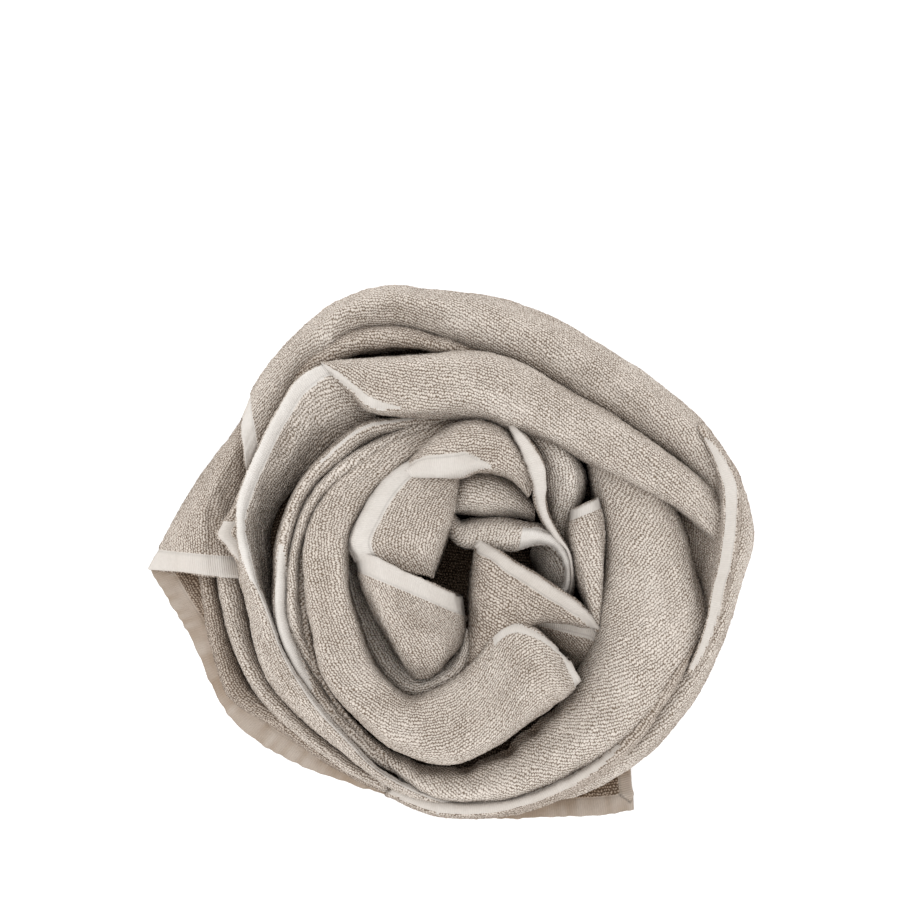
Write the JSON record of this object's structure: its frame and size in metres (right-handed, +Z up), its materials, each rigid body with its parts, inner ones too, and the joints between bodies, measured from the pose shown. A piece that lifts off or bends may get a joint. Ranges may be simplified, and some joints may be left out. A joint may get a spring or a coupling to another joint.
{
  "type": "rolled beach towel",
  "caption": "Terry beach towel loosely wound and gathered into a low rosette, lying on a flat surface; for drying off or lying on once it is spread out.",
  "frame": {"origin": "middle of the outline, on the surface that the towel lies on", "axes": "+X to the right along the rosette's longer side, +Y to its back, +Z up"},
  "size_m": [0.425, 0.374, 0.106],
  "materials": {
    "terry": "looped cotton terry with flat woven hems, undyed beige"
  },
  "bodies": {
    "root": {"towel": "terry"}
  },
  "joints": []
}
